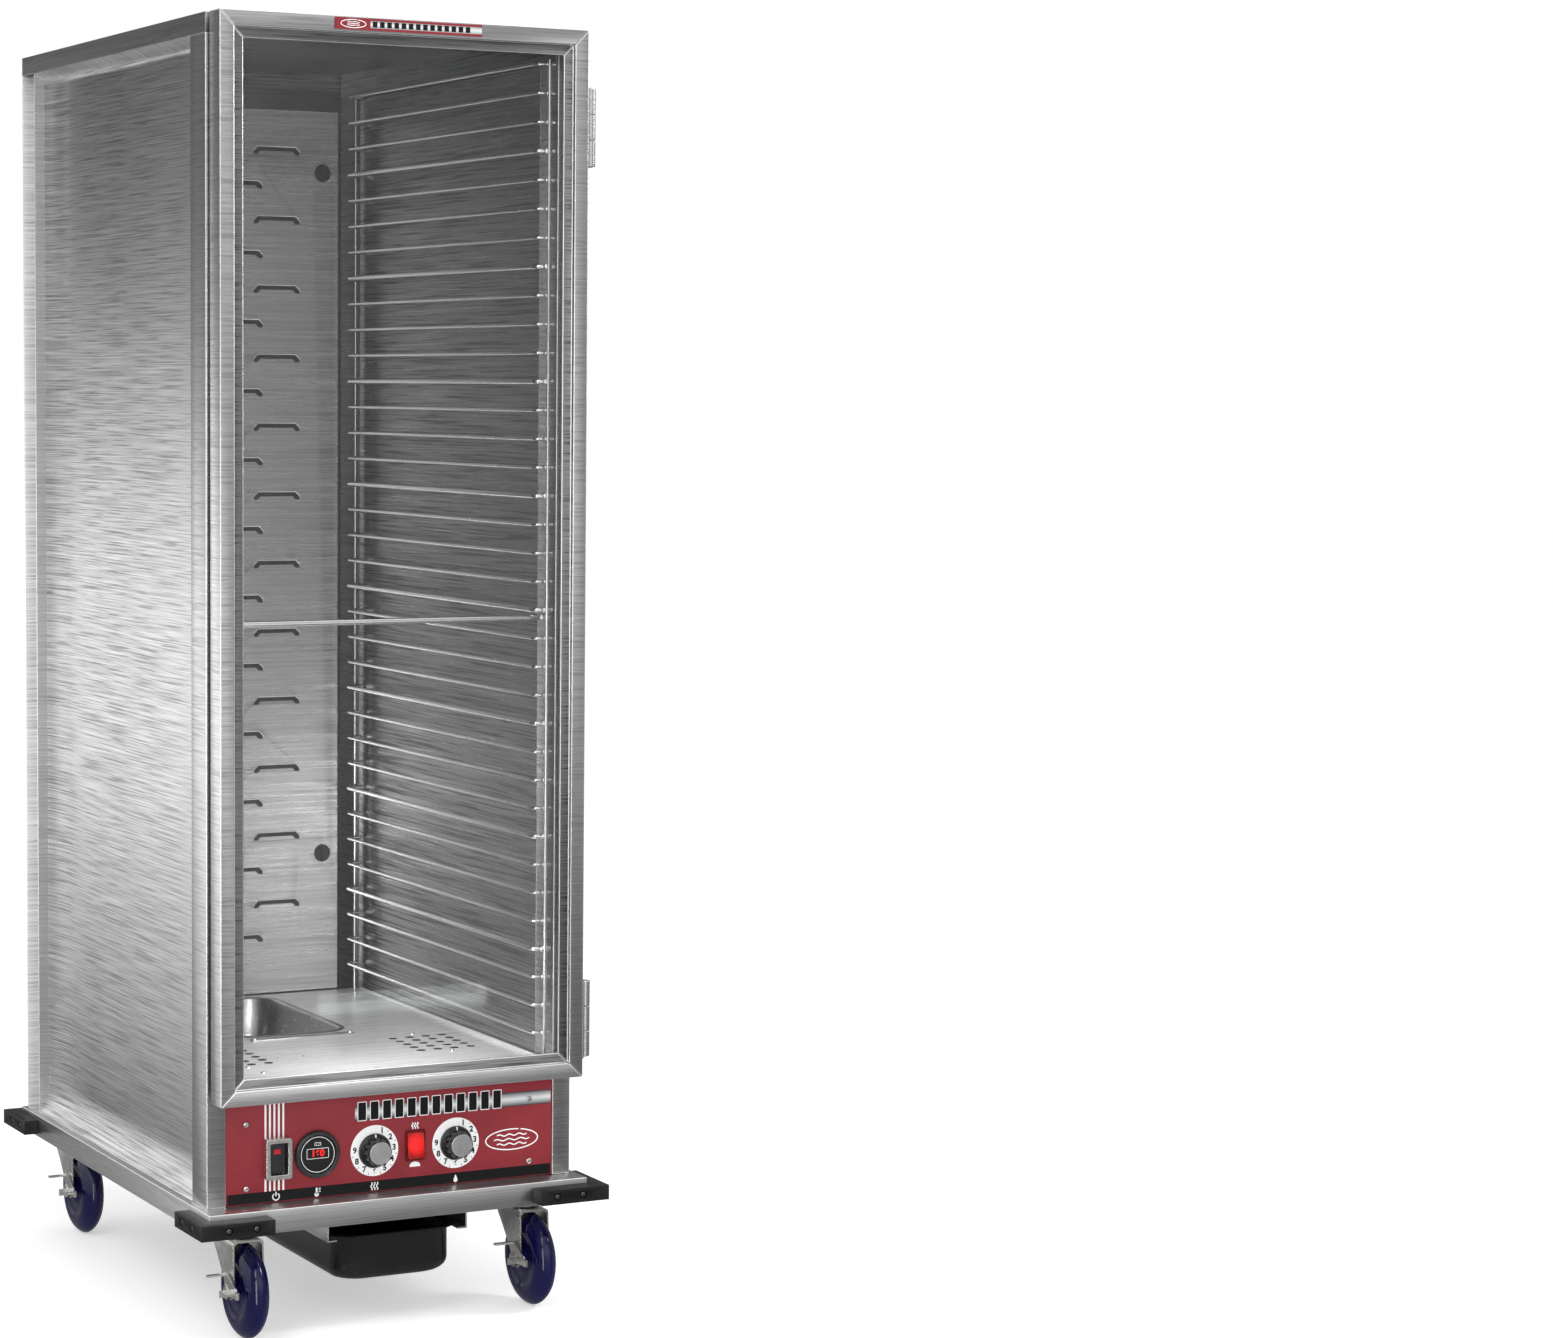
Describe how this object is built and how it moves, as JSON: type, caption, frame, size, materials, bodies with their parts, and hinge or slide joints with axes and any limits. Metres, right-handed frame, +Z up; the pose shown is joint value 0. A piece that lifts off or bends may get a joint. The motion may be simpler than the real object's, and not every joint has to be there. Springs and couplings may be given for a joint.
{
  "type": "proofing cabinet",
  "caption": "Wheeled heated and humidified sheet-pan cabinet with a clear hinged door, wire slide racks, a lift-out water pan and a drip pan beneath.",
  "frame": {"origin": "centre of the bounding box's bottom face, on the floor", "axes": "+Z up, the door faces -Y, +X to the right of somebody who faces the door"},
  "size_m": [0.581, 0.839, 1.71],
  "materials": {
    "aluminium": "brushed",
    "bright_steel": "bright",
    "steel": "satin",
    "module_metal": "satin",
    "zinc": "zinc plated",
    "red_panel": "printed satin film",
    "black_plastic": "moulded",
    "red_plastic": "clear red",
    "black_rubber": "moulded",
    "gasket_rubber": "extruded",
    "navy_tread": "gloss",
    "black_pan": "satin",
    "clear_panel": "clear"
  },
  "bodies": {
    "cabinet": {"base_frame": "aluminium", "corner_bumper_front_left": "black_rubber", "corner_bumper_front_right": "black_rubber", "corner_bumper_rear_left": "black_rubber", "corner_bumper_rear_right": "black_rubber", "caster_plate_front_left": "zinc", "caster_plate_front_right": "zinc", "caster_plate_rear_left": "zinc", "caster_plate_rear_right": "zinc", "side_panel_left": "aluminium", "side_panel_right": "aluminium", "front_post_left": "aluminium", "front_post_right": "aluminium", "back_panel": "aluminium", "power_inlet": "black_plastic", "top_cap": "aluminium", "slide_rack_upper_left": "bright_steel", "slide_rack_upper_right": "bright_steel", "slide_rack_lower_left": "bright_steel", "slide_rack_lower_right": "bright_steel", "rack_tie_rod": "bright_steel", "duct_panel": "aluminium", "blower_housing": "module_metal", "heater_deck": "aluminium", "module_tray": "module_metal", "water_heater": "module_metal", "air_heater": "bright_steel", "control_panel": "red_panel", "power_guard": "bright_steel", "thermometer": "black_plastic", "drip_pan_cradle": "aluminium", "hinge_body_leaf_top": "steel", "hinge_body_leaf_bottom": "steel"},
    "door": {"door_rail_top": "aluminium", "door_rail_bottom": "aluminium", "door_stile_left": "aluminium", "door_stile_right": "aluminium", "door_panel": "clear_panel", "door_gasket": "gasket_rubber", "hinge_door_leaf_top": "steel", "hinge_door_leaf_bottom": "steel"},
    "blower_wheel": {"blower_wheel": "black_plastic"},
    "water_pan": {"water_pan": "bright_steel"},
    "drip_pan": {"drip_pan": "black_pan"},
    "heat_knob": {"heat_knob": "black_plastic"},
    "humidity_knob": {"humidity_knob": "black_plastic"},
    "power_switch": {"power_switch": "black_plastic"},
    "mode_switch": {"mode_switch": "red_plastic"},
    "caster_front_left": {"caster_fork_front_left": "zinc"},
    "wheel_front_left": {"caster_wheel_front_left": "navy_tread"},
    "brake_front_left": {"caster_brake_front_left": "zinc"},
    "caster_front_right": {"caster_fork_front_right": "zinc"},
    "wheel_front_right": {"caster_wheel_front_right": "navy_tread"},
    "brake_front_right": {"caster_brake_front_right": "zinc"},
    "caster_rear_left": {"caster_fork_rear_left": "zinc"},
    "wheel_rear_left": {"caster_wheel_rear_left": "navy_tread"},
    "brake_rear_left": {"caster_brake_rear_left": "zinc"},
    "caster_rear_right": {"caster_fork_rear_right": "zinc"},
    "wheel_rear_right": {"caster_wheel_rear_right": "navy_tread"},
    "brake_rear_right": {"caster_brake_rear_right": "zinc"}
  },
  "joints": [
    {"name": "door_hinge", "type": "hinge", "parent": "cabinet", "child": "door", "pos_m": [0.2705, -0.382, 1.014], "axis": [0, 0, 1], "range_deg": [0, 180]},
    {"name": "blower_spin", "type": "hinge", "parent": "cabinet", "child": "blower_wheel", "pos_m": [0, 0.365, 0.43], "axis": [0, 1, 0], "continuous": true},
    {"name": "water_pan_lift", "type": "slide", "parent": "cabinet", "child": "water_pan", "axis": [0, 0, 1], "range_m": [0, 0.1]},
    {"name": "drip_pan_slide", "type": "slide", "parent": "cabinet", "child": "drip_pan", "axis": [0, -1, 0], "range_m": [0, 0.28]},
    {"name": "heat_knob_turn", "type": "hinge", "parent": "cabinet", "child": "heat_knob", "pos_m": [-0.0256, -0.3568, 0.2343], "axis": [0, 1, 0], "range_deg": [0, 300]},
    {"name": "humidity_knob_turn", "type": "hinge", "parent": "cabinet", "child": "humidity_knob", "pos_m": [0.0918, -0.3568, 0.2343], "axis": [0, 1, 0], "range_deg": [0, 300]},
    {"name": "power_switch_rock", "type": "hinge", "parent": "cabinet", "child": "power_switch", "pos_m": [-0.1645, -0.3574, 0.2375], "axis": [1, 0, 0], "range_deg": [0, 11]},
    {"name": "mode_switch_rock", "type": "hinge", "parent": "cabinet", "child": "mode_switch", "pos_m": [0.0326, -0.3574, 0.2366], "axis": [1, 0, 0], "range_deg": [0, 11]},
    {"name": "caster_swivel_front_left", "type": "hinge", "parent": "cabinet", "child": "caster_front_left", "pos_m": [-0.202, -0.318, 0.1467], "axis": [0, 0, 1], "continuous": true},
    {"name": "wheel_spin_front_left", "type": "hinge", "parent": "caster_front_left", "child": "wheel_front_left", "pos_m": [-0.202, -0.342, 0.0635], "axis": [1, 0, 0], "continuous": true},
    {"name": "brake_press_front_left", "type": "hinge", "parent": "caster_front_left", "child": "brake_front_left", "pos_m": [-0.202, -0.342, 0.0635], "axis": [1, 0, 0], "range_deg": [-14, 0]},
    {"name": "caster_swivel_front_right", "type": "hinge", "parent": "cabinet", "child": "caster_front_right", "pos_m": [0.21, -0.318, 0.1467], "axis": [0, 0, 1], "continuous": true},
    {"name": "wheel_spin_front_right", "type": "hinge", "parent": "caster_front_right", "child": "wheel_front_right", "pos_m": [0.21, -0.342, 0.0635], "axis": [1, 0, 0], "continuous": true},
    {"name": "brake_press_front_right", "type": "hinge", "parent": "caster_front_right", "child": "brake_front_right", "pos_m": [0.21, -0.342, 0.0635], "axis": [1, 0, 0], "range_deg": [-14, 0]},
    {"name": "caster_swivel_rear_left", "type": "hinge", "parent": "cabinet", "child": "caster_rear_left", "pos_m": [-0.202, 0.342, 0.1467], "axis": [0, 0, 1], "continuous": true},
    {"name": "wheel_spin_rear_left", "type": "hinge", "parent": "caster_rear_left", "child": "wheel_rear_left", "pos_m": [-0.202, 0.318, 0.0635], "axis": [1, 0, 0], "continuous": true},
    {"name": "brake_press_rear_left", "type": "hinge", "parent": "caster_rear_left", "child": "brake_rear_left", "pos_m": [-0.202, 0.318, 0.0635], "axis": [1, 0, 0], "range_deg": [-14, 0]},
    {"name": "caster_swivel_rear_right", "type": "hinge", "parent": "cabinet", "child": "caster_rear_right", "pos_m": [0.21, 0.342, 0.1467], "axis": [0, 0, 1], "continuous": true},
    {"name": "wheel_spin_rear_right", "type": "hinge", "parent": "caster_rear_right", "child": "wheel_rear_right", "pos_m": [0.21, 0.318, 0.0635], "axis": [1, 0, 0], "continuous": true},
    {"name": "brake_press_rear_right", "type": "hinge", "parent": "caster_rear_right", "child": "brake_rear_right", "pos_m": [0.21, 0.318, 0.0635], "axis": [1, 0, 0], "range_deg": [-14, 0]}
  ]
}
